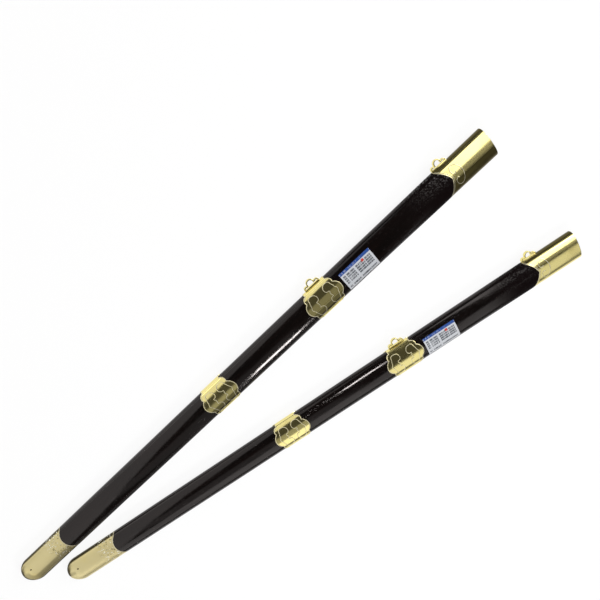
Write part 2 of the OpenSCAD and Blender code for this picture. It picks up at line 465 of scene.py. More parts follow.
brassLook = {
    "pale": (0.90, 0.79, 0.33, 1),
    "warm": (0.78, 0.63, 0.22, 1),
    "satin": (0.71, 0.615, 0.325, 1),  # the chape's duller face
    # painted glints on the shining punched dots
    "bright": (1.0, 0.98, 0.85, 1),
    "dull": (0.22, 0.17, 0.06, 1),
    "edge": (0.06, 0.048, 0.015, 1),  # painted shade on the throat's sides
    "strip": (0.15, 0.13, 0.05, 1),  # painted shade: a dark strip along the bands
    "paintedEdgeShade": (0.04, 0.032, 0.014, 1),  # painted shade on the chape's edges, and the dark line along the bands
    "crest": (0.78, 0.72, 0.52, 1),  # rubbed tops of the raised lines, drawn pale as a painted highlight
    "crestRough": 0.50,
    "crestMetal": 0.45,
    "specular": 0.2,
    "cloud": (38, 4, 0.55),
    "speck": (420, 3, 0.6),
    "drawn": ((40, 1500, 1500), 2, 0.5),
    "seed": 4.1,  # from one stick's patterns to the other's
    "recessRange": (0.02, 0.5),
    "crestRange": (0.10, 0.45),
    "tarnishRange": (0.55, 0.95),
    "speckRange": (0.66, 0.78),
    "speckTarnish": 0.25,  # what specks add to the tarnish
    # how far each one changes the colour
    "tint": {"tarnish": 0.5, "recess": 0.75, "speck": 0.2, "side": 0.95, "crest": 0.9},
    # what each one adds to the roughness
    "roughen": {"tarnish": 0.08, "drawn": 0.04, "recess": 0.12, "side": 0.15, "strip": 0.25},
    "cloudBump": (0.25 * mm, 0.15),
    "drawnBump": (0.010 * mm, 0.15),
    "unshadedEdge": (-2 * mm, 2 * mm),  # across the middle line, where the painted shade gives way on the second stick's far side
    "stripRange": (0.0, 0.45),  # painted side shade that makes the dark strip
    "lineRange": (0.5, 0.95),  # and the stronger painted shade that makes the dark line
    "crestInShade": (0.3, 0.1),  # how far the painted highlight on the crests gives way on the shaded sides and on the strip
    "stripMatt": 0.85,  # how far the strip loses its metal shine
}

stippleLook = {
    "dots": 430.0,
    "patch": (170, 2, 0.5),
    "patchSeed": 2.3,
    "dotRange": (0.22, 0.42),
    "speckRange": (0.40, 0.50),
    "paintedGlintRange": (0.47, 0.53),
    "begin": (34 * mm, 22 * mm),  # back from the chape's rim, where it sets in and is full
    "end": (4 * mm, 2 * mm),  # and where it fades out
    "bump": (0.2 * mm, 0.9),
    "darken": 0.9,  # how dark the dots are that don't shine
    "polish": 0.15,  # how much smoother the shining ones are
}


def stipple(f, place, x, speck, seed):
    # punched dots towards the chape's rim, some of them with painted glints
    look = stippleLook
    rim = span("chape")[1]
    begin = f.smooth(x, rim - look["begin"][0], rim - look["begin"][1])
    end = f.smooth(x, rim - look["end"][0], rim - look["end"][1])
    dots = f.node("ShaderNodeTexVoronoi", {}, {"Vector": place, "Scale": look["dots"]})
    patch = f.noise(place, look["patch"], seed + look["patchSeed"])
    punched = 1 - f.smooth(dots, *look["dotRange"])
    mark = punched * begin * (1 - end) * f.smooth(speck, *look["speckRange"])
    return mark, f.smooth(patch, *look["paintedGlintRange"])


def brass(name, rough, face="pale", side="edge", strip=None, stippled=False, secondFarUnshaded=False):
    look, tint, roughen = brassLook, brassLook["tint"], brassLook["roughen"]
    f = newFinish(name)
    place = f.stickPlace()
    x, y, _ = f.parts(place)
    second = f.number("stickNo")
    seed = second * look["seed"]
    relief = f.number("relief")
    cloud = f.noise(place, look["cloud"], seed)
    speck = f.noise(place, look["speck"], seed)
    drawn = f.noise(place, look["drawn"], seed)
    recess = f.smooth(relief * -1.0, *look["recessRange"])
    crest = f.smooth(relief, *look["crestRange"])
    tarnish = f.smooth(cloud + look["speckTarnish"] * speck, *look["tarnishRange"])
    spots = f.smooth(speck, *look["speckRange"])
    colour = f.mix(tarnish * tint["tarnish"], look[face], look["warm"])
    colour = f.mix(recess * tint["recess"] + spots * tint["speck"], colour, look["dull"])
    rough = rough + roughen["tarnish"] * tarnish + roughen["drawn"] * drawn + roughen["recess"] * recess
    normal = f.bump(drawn, look["drawnBump"], f.bump(cloud, look["cloudBump"]))
    # painted shade on the sides, as the pieces carry it
    tone = f.number("tone") * tint["side"]
    if secondFarUnshaded:
        # the second stick's far side keeps none of the painted shade
        tone = tone * (1 - second * f.smooth(y * -1.0, *look["unshadedEdge"]))
    dull = 0.0
    # painted shade: the dark strip along the bands, then the dark line beyond it
    if strip:
        dull = f.smooth(tone, *look["stripRange"])
        colour = f.mix(dull, colour, look[strip])
        tone = f.smooth(tone, *look["lineRange"])
    colour = f.mix(tone, colour, look[side])
    rough = rough + roughen["side"] * tone + roughen["strip"] * dull
    if stippled:
        mark, paintedGlint = stipple(f, place, x, speck, seed)
        normal = f.bump(mark * -1.0, stippleLook["bump"], normal)
        # painted glints on the shining dots
        colour = f.mix(mark * paintedGlint, colour, look["bright"])
        colour = f.mix(mark * (1 - paintedGlint) * stippleLook["darken"], colour, look["dull"])
        rough = rough - mark * paintedGlint * stippleLook["polish"]
    # painted highlight on the crests, weaker under the painted side shade
    crest = crest * (1 - look["crestInShade"][0] * tone) * (1 - look["crestInShade"][1] * dull)
    colour = f.mix(crest * tint["crest"], colour, look["crest"])
    rough = rough * (1 - crest) + look["crestRough"] * crest
    metal = (1 - crest * (1 - look["crestMetal"])) * (1 - look["stripMatt"] * dull)
    return f.surface(f.principled({
        "Base Color": colour, "Metallic": metal, "Roughness": rough, "Normal": normal,
        "Specular IOR Level": look["specular"]}))


bradLook = {
    "light": (0.16, 0.12, 0.06, 1),
    "dark": (0.06, 0.045, 0.025, 1),
    "spot": (900, 3, 0.5),
    "rough": 0.35,
    "spotRough": 0.2,
    "spotBump": (0.05 * mm, 0.5),
}


def bradMetal():
    look = bradLook
    f = newFinish("darkBrad")
    spot = f.noise(f.stickPlace(), look["spot"])
    return f.surface(f.principled({
        "Base Color": f.mix(spot, look["light"], look["dark"]), "Metallic": 1.0,
        "Roughness": look["rough"] + look["spotRough"] * spot, "Normal": f.bump(spot, look["spotBump"])}))


labelFrom, labelTo = span("label")
labelLow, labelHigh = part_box("first_label")
labelLook = {
    "paper": (0.74, 0.76, 0.80, 1),
    "shade": (0.62, 0.65, 0.68, 1),
    "blue": (0.020, 0.085, 0.36, 1),
    "ink": (0.09, 0.10, 0.12, 1),
    "red": (0.72, 0.06, 0.04, 1),
    "rough": 0.38,
    "fibreRough": 0.2,
    "fibre": (1400, 3, 0.6),
    "fibreRange": (0.4, 0.8),
    "fibreBump": (0.02 * mm, 0.4),
    # places on the label are shares of its length and width
    "rows": (0.73, 0.61, 0.49, 0.37, 0.13),
    "rowHalf": 0.045,
    "columns": ((0.05, 0.12), (0.16, 0.40), (0.46, 0.94)),
    "header": 0.86,  # where the blue strip starts
    "ticks": (0.90, 0.97),
    "stamp": ((0.66, 0.73), (0.69, 0.82)),
    "dashes": ((1300, 60, 60), 1, 0.5),
    "dashRange": (0.36, 0.48),
    "tickRange": (0.56, 0.62),
    # how strongly each one covers what is under it
    "cover": {"shade": 0.12, "ink": 0.95, "ticks": 0.6},
}


def labelPaper():
    look, cover = labelLook, labelLook["cover"]
    f = newFinish("labelPaper")
    place = f.stickPlace()
    x, y, _ = f.parts(place)
    along = (x - labelFrom) / (labelTo - labelFrom)
    across = (y - (labelLow.y - stickY)) / (labelHigh.y - labelLow.y)
    fibre = f.noise(place, look["fibre"])
    dashes = f.noise(place, look["dashes"])
    colour = f.mix(f.smooth(fibre, *look["fibreRange"]) * cover["shade"], look["paper"], look["shade"])
    broken = f.smooth(dashes, *look["dashRange"])
    printed = 0.0
    for at in look["rows"]:
        row = f.between(across, at - look["rowHalf"], at + look["rowHalf"])
        for left, right in look["columns"]:
            printed = printed + row * f.between(along, left, right) * broken
    colour = f.mix(printed * cover["ink"], colour, look["ink"])
    ticks = f.between(across, *look["ticks"]) * f.smooth(dashes, *look["tickRange"])
    header = f.mix(ticks * cover["ticks"], look["blue"], look["paper"])
    colour = f.mix(across > look["header"], colour, header)
    stampAlong, stampAcross = look["stamp"]
    stamp = f.between(along, *stampAlong) * f.between(across, *stampAcross)
    colour = f.mix(stamp, colour, look["red"])
    return f.surface(f.principled({
        "Base Color": colour, "Roughness": look["rough"] + look["fibreRough"] * fibre,
        "Normal": f.bump(fibre, look["fibreBump"])}))


finishes = {
    # the brass ones with the roughness of their clean faces
    "lacquer": lacquer(),
    "rawWood": rawWood(),
    "brass": brass("polishedBrass", 0.13),
    "bandBrass": brass("bandBrass", 0.09, side="paintedEdgeShade", strip="strip", secondFarUnshaded=True),
    "throatBrass": brass("throatBrass", 0.12, secondFarUnshaded=True),
    "chapeBrass": brass("stippledBrass", 0.30, "satin", "paintedEdgeShade", stippled=True, secondFarUnshaded=True),
    "brad": bradMetal(),
    "paper": labelPaper(),
}
print("finishes made:", len(finishes))


# Placing: each pattern piece is modelled once on the stick's own frame and copied to both sticks

# degrees from which an edge stays sharp, by how a piece's name ends
sharpFrom = {"sheet": 62, "cup": 62, "wood": 40, "pin": 50, "plate": 40, "strip": 45, "paper": 40}


def stickPlaces():
    # where each stick lies, from the mount in its mouth
    places = {}
    for mount in frame["record"]["mounts"]:
        stickName, _, spot = mount["name"].partition("_")
        if spot == "mouth":
            heading = math.atan2(mount["axis"][1], mount["axis"][0])
            mouth = Vector((mount["pos_m"][0], mount["pos_m"][1], 0))
            tip = mouth - stick["length"] * Vector((math.cos(heading), math.sin(heading), 0))
            places[stickName] = Matrix.Translation(tip) @ Matrix.Rotation(heading, 4, "Z")
    return places


places = stickPlaces()


def fitBoth(pattern, ending, node, looks):
    pick(pattern)
    bpy.ops.object.shade_smooth_by_angle(angle=math.radians(sharpFrom[ending]))
    pattern.data.materials.clear()
    for look in looks:
        pattern.data.materials.append(finishes[look])
    onStick = pattern.data.attributes.new("onStick", "FLOAT_VECTOR", "POINT")
    onStick.data.foreach_set("vector", getPoints(pattern).astype(np.float32).ravel())
    for number, (stickName, place) in enumerate(sorted(places.items())):
        pick(pattern)
        bpy.ops.object.duplicate(linked=False)
        piece = named(f"{stickName}_{node}_{ending}")
        piece.data.name = piece.name
        addFloats(piece, "stickNo", np.full(len(piece.data.vertices), float(number)))
        piece.matrix_world = place
        bpy.ops.object.transform_apply(location=True, rotation=True, scale=True)
        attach(piece, f"{stickName}_stick")
        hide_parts(f"{stickName}_{node}")
    bpy.data.objects.remove(pattern)


# Brass sheet with raised beads and lines

trim = {
    "bead": 1.2 * mm,  # width along a rim
    "groove": 0.55 * mm,  # width of the sunk line beside it
    "grooveDepth": 0.35,  # as a share of the relief
    "line": 0.95 * mm,  # width of a raised line
    "lineHeight": 0.85,  # as a share of the relief
    "inRows": 5,  # rows on the inner side of a sheet
}


def raised(edgeDistance, lineDistances, lines=1.0):
    # height over the plain sheet as a share of the relief: rim bead, sunk line beside it, raised lines
    height = ridge(edgeDistance - trim["bead"] / 2, trim["bead"])
    beside = edgeDistance - trim["bead"] - trim["groove"] / 2
    height = height - trim["grooveDepth"] * ridge(beside, trim["groove"])
    for distance in lineDistances:
        height = np.maximum(height, trim["lineHeight"] * ridge(distance, trim["line"]) * lines)
    return height


def rimLine(rimAt, reach=24 * mm, steps=160, past=1 * mm):
    # half of a rim in plan, from just past the axis to beyond the edge
    y = np.linspace(-past, reach, steps)
    return columns(rimAt(y), y)


def sheetDepth(outside, height):
    # where the sheet's two sides lie, measured outwards from the tops of its raised lines
    return np.where(outside, stick["relief"] * (height - 1), -stick["relief"] - stick["wall"])


def sheetPiece(name, fitting, outStations, endLow, endHigh, heightAt, proud):
    # a closed sheet round the stick: outStations run over its face from end to end,
    # and a few more run back inside
    inStations = np.linspace(1, 0, trim["inRows"])
    rows = len(outStations) + len(inStations)
    piece, share, row = ringPiece(name, fitting["around"], rows)
    turn = faceTurn(share)
    outside = row < len(outStations)
    run = np.concatenate([outStations, inStations])[row]
    middle = (endLow(0.0) + endHigh(0.0)) / 2
    yPlan = halfWidth(middle) * soft(np.cos(turn))
    x = endLow(yPlan) + (endHigh(yPlan) - endLow(yPlan)) * run
    height = np.where(outside, heightAt(x, yPlan), 0.0)
    points = skin(x, turn, proud + sheetDepth(outside, height))
    setPoints(piece, points)
    addFloats(piece, "relief", height)
    # painted shade on the sheet's sides
    addFloats(piece, "tone", paintedSideShade(points, fitting))
    faceOutwards(piece, closeSeams=True)
    return piece


cloud = {
    # half of the figure on a band in mm back from its point and off the axis:
    # over a lobe, then into the stepped notch
    "lobe": [(0, 0), (1.2, 2.3), (2.2, 4.3), (2.5, 6.1), (3.8, 9.4), (4.5, 12.2), (6.0, 13.6), (8.7, 14.0),
             (12.2, 13.5), (14.7, 11.6), (15.8, 8.8), (15.3, 6.2), (13.5, 4.5), (10.8, 4.1)],
    "notch": [(10.8, 4.1), (10.7, 2.3), (11.8, 1.5), (11.8, 0.7), (11.3, 0)],
}


def cloudOutline(point):
    lines = np.concatenate([curve(cloud["lobe"]), cloud["notch"]]) * mm
    return columns(point - lines[:, 0], lines[:, 1])


bands = {
    "around": 400,
    "rows": 188,
    "crowd": 0.35,  # crowds the rows at the two ends
    "midLobe": 11.8 * mm,
    "sideLobe": 5.4 * mm,
    "sideOff": 12.2 * mm,
    "sideOut": 5.4 * mm,
    "edgeLength": {"upper_band": 34 * mm, "lower_band": 30 * mm},
    "pointIn": 6.6 * mm,  # from the middle lobe to the cloud's point
    "plain": (0.72, 0.84),  # shares of the half width where the cloud's lines run out
    "loopSide": [],
    # painted shade: a dark strip, then a dark line
    "farSide": [(-0.075, -0.04, 0.5), (0.05, 0.09, 0.5), (0.15, 0.22, -1.0)],
}


def makeBand(node):
    low, high = span(node)
    at, half = (low + high) / 2, (high - low) / 2
    edgeHalf = bands["edgeLength"][node] / 2
    mid, side = bands["midLobe"], bands["sideLobe"]

    def endAt(y):
        # how far the lobed end lies from the band's middle
        y = np.abs(y)
        offSide = y - bands["sideOff"]
        midX = half - mid + np.sqrt(np.clip(mid ** 2 - y ** 2, 0, None))
        sideX = edgeHalf + bands["sideOut"] - side + np.sqrt(np.clip(side ** 2 - offSide ** 2, 0, None))
        end = np.where(y < mid, np.maximum(midX, edgeHalf), edgeHalf)
        return np.where(np.abs(offSide) < side, np.maximum(end, sideX), end)

    rim = rimLine(endAt)
    figure = cloudOutline(half - bands["pointIn"])

    def heightAt(x, y):
        quarter = columns(np.abs(x - at), np.abs(y))
        lines = 1 - eased(np.abs(y) / halfWidth(at), *bands["plain"])
        return raised(lineDistance(quarter, rim), [lineDistance(quarter, figure)], lines)

    share = np.linspace(0, 1, bands["rows"])
    stations = share - bands["crowd"] * np.sin(2 * math.pi * share) / (2 * math.pi)
    return sheetPiece(node, bands, stations, lambda y: at - endAt(y), lambda y: at + endAt(y),
                      heightAt, stick["brassOff"])


for node in ("upper_band", "lower_band"):
    fitBoth(makeBand(node), "sheet", node, ["bandBrass"])
print("bands made")

throat = {
    "around": 400,
    "rows": 150,
    # shares of the rows, and how far along the throat they have come
    "rowKnots": ([0, 0.82, 0.95, 1], [0, 0.40, 0.992, 1]),
    "archDepth": 13.4 * mm,
    "archRadius": 44 * mm,
    "archLand": 0.8 * mm,  # straight rim beside the arch at each edge
    "lip": 2.6 * mm,  # from the rim to the second, finer line
    "lipWidth": 0.8 * mm,
    "lipHeight": 0.5,  # as a share of the relief
    # half of the scroll in mm from the arch's point and off the axis:
    # from its crown round a curl to the curl's end
    "scroll": [(17.5, 0), (17.3, 2.0), (16.5, 5.0), (14.9, 9.0), (12.7, 12.1), (9.6, 13.9), (6.3, 13.6),
               (4.0, 11.2), (3.2, 7.6), (4.4, 4.6), (7.2, 3.2), (8.8, 4.6)],
    "mouthRound": 0.5 * mm,
    # painted shade on the loop side and the far side
    "loopSide": [(0.28, 0.55, 1.0)],
    "farSide": [(0.018, 0.04, 1.0)],
}


def archIn(y):
    # depth of the pointed arch at y
    half = halfWidth(span("throat")[0]) - throat["archLand"]
    depth, radius = throat["archDepth"], throat["archRadius"]
    chord = math.hypot(half, depth)
    sag = math.sqrt(radius ** 2 - chord ** 2 / 4)
    centreX = depth / 2 - sag * half / chord
    centreY = half / 2 - sag * depth / chord
    return np.clip(centreX + np.sqrt(np.clip(radius ** 2 - (np.abs(y) - centreY) ** 2, 0, None)), 0, None)


def makeThroat():
    low, high = span("throat")
    rim = rimLine(archIn)
    lip = rim + np.array([throat["lip"], 0])
    scroll = curve(throat["scroll"]) * mm + np.array([throat["archDepth"], 0])

    def heightAt(x, y):
        quarter = columns(x - low, np.abs(y))
        height = raised(lineDistance(quarter, rim), [lineDistance(quarter, scroll)])
        lipLine = ridge(lineDistance(quarter, lip), throat["lipWidth"])
        height = np.maximum(height, throat["lipHeight"] * lipLine)
        toMouth = np.clip(1 - (high - x) / throat["mouthRound"], 0, 1)
        return height - (1 - np.sqrt(1 - toMouth ** 2)) * throat["mouthRound"] / stick["relief"]

    stations = np.interp(np.linspace(0, 1, throat["rows"]), *throat["rowKnots"])
    return sheetPiece("throat", throat, stations, lambda y: low + archIn(y),
                      lambda y: high + 0 * np.asarray(y), heightAt, 0.0)


fitBoth(makeThroat(), "sheet", "throat", ["throatBrass"])
print("throats made")

chape = {
    "around": 224,
    "tipRows": 26,
    "bodyRows": 78,
    "inRows": 12,
    # shares of the body's rows, and how far along the body they have come
    "rowKnots": ([0, 0.45, 1], [0, 0.72, 1]),
    "inStraight": 0.6,  # share of the inner rows that run straight back to the rounded tip
    "rimReach": 26 * mm,
    "rimSteps": 200,
    "notch": 9 * mm,
    # painted shade on the loop side, the far side and the tip
    "loopSide": [(0.46, 0.66, 1.0)],
    "farSide": [(0.035, 0.07, 0.40), (0.28, 0.42, 0.60)],
    "tipSide": [(0.17, 0.30, 1.0)],
}


def chapeRim(y):
    # where the rim lies at y, with its round notch
    rimAt = span("chape")[1]
    half = halfWidth(rimAt)
    radius = (half ** 2 + chape["notch"] ** 2) / (2 * chape["notch"])
    return rimAt + radius - chape["notch"] - np.sqrt(radius ** 2 - np.minimum(np.abs(y), half) ** 2)


def makeChape():
    tipRows, bodyRows, inRows = chape["tipRows"], chape["bodyRows"], chape["inRows"]
    outRows = tipRows + bodyRows
    rows = outRows + inRows
    clearSelection()
    bpy.ops.mesh.primitive_uv_sphere_add(segments=chape["around"], ring_count=rows, radius=1)
    piece = named("chape")
    points = getPoints(piece)
    row = np.round(np.arccos(np.clip(points[:, 2], -1, 1)) / math.pi * rows).astype(int)
    turn = faceTurn(np.arctan2(points[:, 1], points[:, 0]) / (2 * math.pi))
    tipRound = stick["tipRound"]
    y = halfWidth(span("chape")[1]) * soft(np.cos(turn))
    # over the rounded tip and along the body to the rim
    swing = np.clip(row / tipRows, 0, 1) * math.pi / 2
    body = np.interp(np.clip((row - tipRows) / bodyRows, 0, 1), *chape["rowKnots"])
    onTip = tipRound * (1 - np.cos(swing))
    outX = np.where(row <= tipRows, onTip, tipRound + (chapeRim(y) - tipRound) * body)
    # back inside
    straight = chape["inStraight"]
    back = np.clip((row - outRows) / inRows, 0, 1)
    inSwing = np.clip((1 - back) / (1 - straight), 0, 1) * math.pi / 2
    inTip = tipRound - (tipRound - stick["wall"] - stick["relief"]) * np.cos(inSwing)
    inX = np.where(back < straight, chapeRim(y) + (tipRound - chapeRim(y)) * back / straight, inTip)
    outside = row <= outRows
    x = np.where(outside, outX, inX)
    share = np.where(outside, np.sin(swing), np.sin(inSwing))
    rim = rimLine(chapeRim, chape["rimReach"], chape["rimSteps"])
    quarter = columns(x, np.abs(y))
    height = np.where(outside, raised(lineDistance(quarter, rim), []), 0.0)
    points = skin(x, turn, sheetDepth(outside, height), share)
    setPoints(piece, points)
    addFloats(piece, "relief", height)
    # painted shade on the chape's sides and tip
    addFloats(piece, "tone", paintedSideShade(points, chape))
    faceOutwards(piece)
    return piece


fitBoth(makeChape(), "cup", "chape", ["chapeBrass"])
print("chapes made")


# Wooden slats, rebated for the throat and the chape

slats = {
    "arcSteps": 72,  # round the outside
    "flatSteps": 48,  # across the glued face and its groove
    "rows": (21, 92, 12),  # under the chape, open, under the throat
    "tipStart": 1.0 * mm,
    "tipBlunt": 0.6 * mm,  # where the rounded tip would close
    "tipLeast": 0.1,  # share of the width that is left there
    "rimGap": 0.1 * mm,  # between a rebate and the rim in it
    "glue": 0.05 * mm,  # half the glue line
    "grooveEnd": 58 * mm,
    "grooveHalf": 3.5 * mm,  # depth of the groove in one slat
    "grooveWidth": (21 * mm, 30 * mm),
    "grooveMost": 0.9,  # largest share of the slat's width that the groove may take
    "grooveKnots": (0.25, 0.3, 0.7, 0.75),  # shares of the flat steps at the groove's corners
    "handWork": 0.05 * mm,  # unevenness that the lacquer follows
    "slowWave": (41, 2.1),  # how close it repeats, and how far it shifts round the stick
    "quickWave": (97, 3, 0.7),  # the same, and its share of the unevenness
}


def uneven(x, turn):
    # hand-made waviness of the planed wood
    pace, shift = slats["slowWave"]
    slow = np.sin(x * pace + shift * np.cos(turn)) * np.cos(2 * turn)
    pace, shift, share = slats["quickWave"]
    quick = share * np.sin(x * pace + shift * turn) * np.abs(np.sin(turn))
    return slats["handWork"] * (slow + quick)


def makeSlat(node, side):
    tipRound, start, arcSteps = stick["tipRound"], slats["tipStart"], slats["arcSteps"]
    stretches = np.repeat([0, 1, 2], slats["rows"])
    shares = np.concatenate([np.linspace(0, 1, n) for n in slats["rows"]])
    piece, turnIndex, station = tubePiece(node, arcSteps + slats["flatSteps"], len(shares))
    stretch, run = stretches[station], shares[station]
    turn = math.pi * np.clip(turnIndex / arcSteps, 0, 1)
    flat = np.clip((turnIndex - arcSteps) / slats["flatSteps"], 0, 1)
    onFlat = turnIndex > arcSteps
    # rows bend along with the notch of the chape and the arch of the throat
    throatAt, end = span("throat")[0], span("front_slat")[1]
    acrossShare = np.where(onFlat, 2 * flat - 1, soft(np.cos(turn)))
    fromRim = chapeRim(halfWidth(span("chape")[1]) * acrossShare) + slats["rimGap"]
    toRim = throatAt + archIn(halfWidth(throatAt) * acrossShare) - slats["rimGap"]
    inTip = tipRound - (tipRound - start) * np.cos(np.clip(2 * run, 0, 1) * math.pi / 2)
    underChape = np.where(run < 0.5, inTip, tipRound + (fromRim - tipRound) * (2 * run - 1))
    x = np.select([stretch == 0, stretch == 1],
                  [underChape, fromRim + (toRim - fromRim) * run], toRim + (end - toRim) * run)
    fromTip = (tipRound - x) / (tipRound - slats["tipBlunt"])
    share = np.sqrt(np.clip(1 - fromTip ** 2, slats["tipLeast"] ** 2, 1))
    share = np.where(x >= tipRound, 1.0, share)
    letIn = np.where(stretch == 1, 0.0, stick["brassOff"])
    a = (halfWidth(x) - letIn) * share
    b = (halfThick(x) - letIn) * share ** stick["tipThin"] - slats["glue"]
    swell = 1 + uneven(x, side * turn) / halfWidth(x)
    y = a * soft(np.cos(turn)) * swell
    z = b * soft(np.sin(turn)) * swell
    # back across the flat face, dipping into the groove
    narrow, wide = slats["grooveWidth"]
    into = np.clip((x - slats["grooveEnd"]) / (stick["length"] - slats["grooveEnd"]), 0, 1)
    groove = np.minimum((narrow + (wide - narrow) * into) / 2, slats["grooveMost"] * a)
    depth = np.where(x >= slats["grooveEnd"], slats["grooveHalf"], 0.0)
    knots = [0, *slats["grooveKnots"], 1]
    edgeShare = np.interp(flat, knots, [-1, 0, 0, 0, 0, 1])
    grooveShare = np.interp(flat, knots, [0, -1, -1, 1, 1, 0])
    y = np.where(onFlat, a * edgeShare + groove * grooveShare, y)
    z = np.where(onFlat, depth * np.interp(flat, knots, [0, 0, 1, 1, 0, 0]), z)
    setPoints(piece, columns(x, y, midHeight(x) + side * (z + slats["glue"])))
    faceOutwards(piece)
    # the glued face, the groove and the two ends, which have many corners, are bare wood
    outer = turnIndex <= arcSteps
    for face in piece.data.polygons:
        lacquered = len(face.vertices) == 4 and all(outer[v] for v in face.vertices)
        face.material_index = 0 if lacquered else 1
    return piece


for node, side in (("front_slat", 1), ("back_slat", -1)):
    fitBoth(makeSlat(node, side), "wood", node, ["lacquer", "rawWood"])
print("slats made")

brad = {
    "around": 32,
    "rows": 20,
    "head": 0.4 * mm,
    "fill": 1.6,  # how fast the ball's lower half fills out to a straight shank
}


def makeBrad():
    clearSelection()
    bpy.ops.mesh.primitive_uv_sphere_add(segments=brad["around"], ring_count=brad["rows"], radius=1)
    piece = named("chape_brad")
    low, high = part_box("first_chape_brad")
    ballX, ballY, up = getPoints(piece).T
    middle = (low + high) / 2 - Vector((tipX, stickY, 0))
    radius = (high.x - low.x) / 2
    top, shank = high.z - brad["head"], high.z - low.z - brad["head"]
    # the upper half becomes the domed head, the lower half the shank
    z = np.where(up > 0, top + brad["head"] * up, top - shank * np.minimum(1, -brad["fill"] * up))
    ring = np.hypot(ballX, ballY)
    wide = np.where(up > 0, ring, np.minimum(1, ring * brad["fill"]))
    unit = np.where(ring > tiny, wide / np.maximum(ring, tiny), 0) * radius
    setPoints(piece, columns(middle.x + ballX * unit, middle.y + ballY * unit, z))
    faceOutwards(piece)
    return piece


fitBoth(makeBrad(), "pin", "chape_brad", ["brad"])

mouthPlate = {
    "around": 160,
    "slot": (30 * mm, 7 * mm),
    "corner": 9.0,  # fullness of the slot, a box has the most
    "edgeRound": 0.25 * mm,
    "edgeMid": 0.3,  # how far a rounded edge's middle point lies in, as a share of the round
}


def makeMouthPlate():
    low, high = span("mouth_plate")
    r, mid = mouthPlate["edgeRound"], mouthPlate["edgeMid"]
    # section: place along the stick, from the slot at 0 to the rim at 1, and share of the round it lies in;
    # out over the back, along the rim, in over the front and back through the slot
    section = [(low, 0, 1), (low, 1, 1), (low, 1, 0), (high - r, 1, 0),
               (high - mid * r, 1, mid), (high, 1, 1), (high, 0.5, 1), (high, 0, 1),
               (high - mid * r, 0, mid), (high - r, 0, 0), (low, 0, 0)]
    piece, share, row = ringPiece("mouth_plate", mouthPlate["around"], len(section))
    turn = faceTurn(share)
    x, outer, inset = np.array(section)[row].T
    rimY, rimZ = skin(x, turn, -stick["brassOff"])[:, 1:].T
    slotWide, slotDeep = mouthPlate["slot"]
    slotY = slotWide / 2 * squared(np.cos(turn), mouthPlate["corner"])
    slotZ = midHeight(x) + slotDeep / 2 * squared(np.sin(turn), mouthPlate["corner"])
    move = r * inset * (1 - 2 * outer)
    y = slotY + (rimY - slotY) * outer + move * np.cos(turn)
    z = slotZ + (rimZ - slotZ) * outer + move * np.sin(turn)
    setPoints(piece, columns(x, y, z))
    faceOutwards(piece, closeSeams=True)
    return piece


fitBoth(makeMouthPlate(), "plate", "mouth_plate", ["brass"])
print("brads and mouth plates made")

loop = {
    "width": 23.4 * mm,
    "height": 10.4 * mm,
    "strip": 1.6 * mm,
    "depth": 4.2 * mm,
    "corner": 6.0,  # fullness of the strip's section, a box has the most
    "sideRadius": 2.0 * mm,
    "sideUp": 0.1 * mm,
    "topRadius": 3.9 * mm,
    "shoulder": 1.6 * mm,  # height of the eye over the foot between the lobes
    "sink": 0.85 * mm,  # how far its foot goes into the brass
    "footRound": 0.35 * mm,
    "footSteps": 3,
    "around": 28,
    "lobeSteps": 26,
    "flatSteps": 8,
}


def loopPath(grow):
    # the strip's face from the left foot over three lobes to the right foot, grow off its inner side
    strip = loop["strip"]
    sideX, sideY = -(loop["width"] / 2 - strip - loop["sideRadius"]), strip + loop["sideUp"]
    topY = loop["height"] - strip - loop["topRadius"]
    sideR, topR = loop["sideRadius"] + grow, loop["topRadius"] + grow
    level = strip + loop["shoulder"] + grow
    footDeg = 180 + math.degrees(math.asin(loop["sideUp"] / sideR))
    sideDeg = math.degrees(math.asin((level - sideY) / sideR))
    topDeg = 180 - math.degrees(math.asin((level - topY) / topR))
    left = arc((sideX, sideY), sideR, footDeg, sideDeg, loop["lobeSteps"])
    over = arc((0, topY), topR, topDeg, 90, loop["lobeSteps"])
    flat = left[-1] + (over[0] - left[-1]) * np.linspace(0, 1, loop["flatSteps"])[1:-1, None]
    half = np.concatenate([left, flat, over])
    return np.concatenate([half, half[-2::-1] * np.array([-1, 1])])


def makeLoop(node, proud):
    low, high = span(node)
    at = (low + high) / 2
    edge = halfWidth(at) + proud
    strip = loop["strip"]
    inner, outer = loopPath(0), loopPath(strip)
    piece, turnIndex, station = tubePiece(node, loop["around"], len(inner))
    turn = 2 * math.pi * turnIndex / loop["around"]
    across = (1 + squared(np.cos(turn), loop["corner"])) / 2
    deep = loop["depth"] / 2 * squared(np.sin(turn), loop["corner"])
    flat = inner[station] + (outer[station] - inner[station]) * across[:, None]
    setPoints(piece, columns(at + flat[:, 0], edge + flat[:, 1], midHeight(at) + deep))
    faceOutwards(piece)
    # the foot that is soldered along the edge
    clearSelection()
    bpy.ops.mesh.primitive_cube_add(size=1)
    foot = named(node + "_foot")
    points = getPoints(foot)
    points[:, 0] = at + points[:, 0] * loop["width"]
    points[:, 1] = edge + np.where(points[:, 1] > 0, strip, -loop["sink"])
    points[:, 2] = midHeight(at) + points[:, 2] * loop["depth"]
    setPoints(foot, points)
    rounding = foot.modifiers.new("edges", "BEVEL")
    rounding.width, rounding.segments = loop["footRound"], loop["footSteps"]
    bpy.ops.object.modifier_apply(modifier="edges")
    pick(piece)
    foot.select_set(True)
    bpy.ops.object.join()
    return piece


for node, proud in (("upper_loop", stick["brassOff"]), ("throat_loop", 0.0)):
    fitBoth(makeLoop(node, proud), "strip", node, ["brass"])
print("loops made")

paper = {
    "rows": 60,
    "columns": 44,
    "lift": 0.10 * mm,
    "thick": 0.12 * mm,
    "cornerLift": 0.35 * mm,
    "cornerFrom": 1.18,  # from the middle, in half sides, where the corners begin to lift
    "cornerOver": 0.23,  # and how far on they are fully up
}


